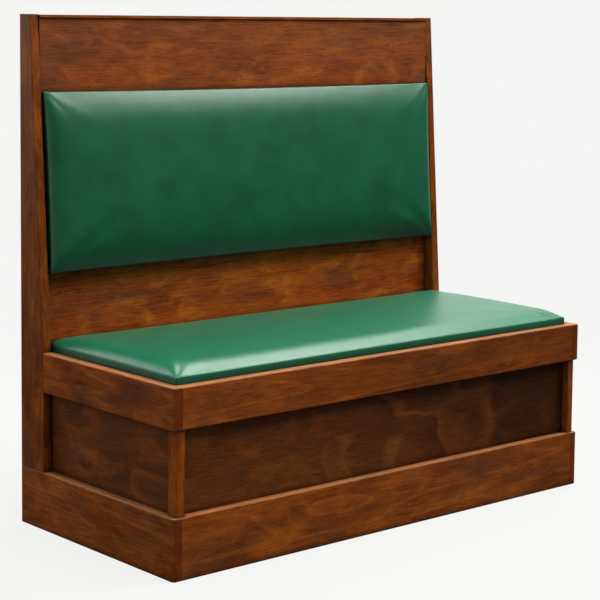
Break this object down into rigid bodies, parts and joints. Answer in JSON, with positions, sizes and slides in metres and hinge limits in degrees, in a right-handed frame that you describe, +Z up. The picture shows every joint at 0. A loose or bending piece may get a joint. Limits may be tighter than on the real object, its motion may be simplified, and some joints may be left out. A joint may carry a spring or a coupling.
{
  "type": "restaurant booth seat",
  "caption": "Straight restaurant booth seat: a panelled wooden box on a plinth with a drop-in vinyl seat, and a tall framed back with tapered end boards and a padded cushion.",
  "frame": {"origin": "on the floor, under the middle of the booth's box", "axes": "+X along the width, to the right as seen from the front; +Y towards the back; +Z up"},
  "size_m": [1.219, 0.56, 1.124],
  "materials": {
    "stained_wood": "satin",
    "veneered_panel": "satin",
    "plain_plywood": "matte",
    "softwood": "matte",
    "green_vinyl": "satin",
    "foam": "matte",
    "dust_cloth": "matte",
    "steel": "zinc plated"
  },
  "bodies": {
    "booth": {"back_bottom_rail": "stained_wood", "back_cushion_board": "plain_plywood", "back_cushion_cover": "green_vinyl", "back_cushion_foam": "foam", "back_cushion_screws": "steel", "back_face_panel": "veneered_panel", "back_lower_rail": "stained_wood", "back_noggins": "softwood", "back_rear_panel": "plain_plywood", "back_studs": "stained_wood", "back_top_rail": "softwood", "base_deck": "stained_wood", "box_corner_blocks": "softwood", "box_rear_panel": "stained_wood", "corner_post_left": "stained_wood", "corner_post_right": "stained_wood", "end_board_left": "stained_wood", "end_board_right": "stained_wood", "end_board_screws": "steel", "front_panel": "veneered_panel", "plinth_back_board": "stained_wood", "plinth_bracket_screws": "steel", "plinth_brackets": "steel", "plinth_corner_blocks": "softwood", "plinth_cross_bearers": "softwood", "plinth_front_board": "stained_wood", "plinth_left_board": "stained_wood", "plinth_right_board": "stained_wood", "rail_screws": "steel", "rear_panel_screws": "steel", "seat_cleat_front": "softwood", "seat_cleat_left": "softwood", "seat_cleat_right": "softwood", "seat_cross_bearers": "softwood", "seat_rail_front": "stained_wood", "seat_rail_left": "stained_wood", "seat_rail_right": "stained_wood", "side_panel_left": "veneered_panel", "side_panel_right": "veneered_panel", "top_cap": "stained_wood"},
    "seat": {"seat_board": "plain_plywood", "seat_foam": "foam", "seat_cover": "green_vinyl", "seat_dust_cover": "dust_cloth", "seat_locating_blocks": "softwood"}
  },
  "joints": [
    {"name": "seat_lift", "type": "slide", "parent": "booth", "child": "seat", "axis": [0, 0, 1], "range_m": [0, 0.1]}
  ]
}
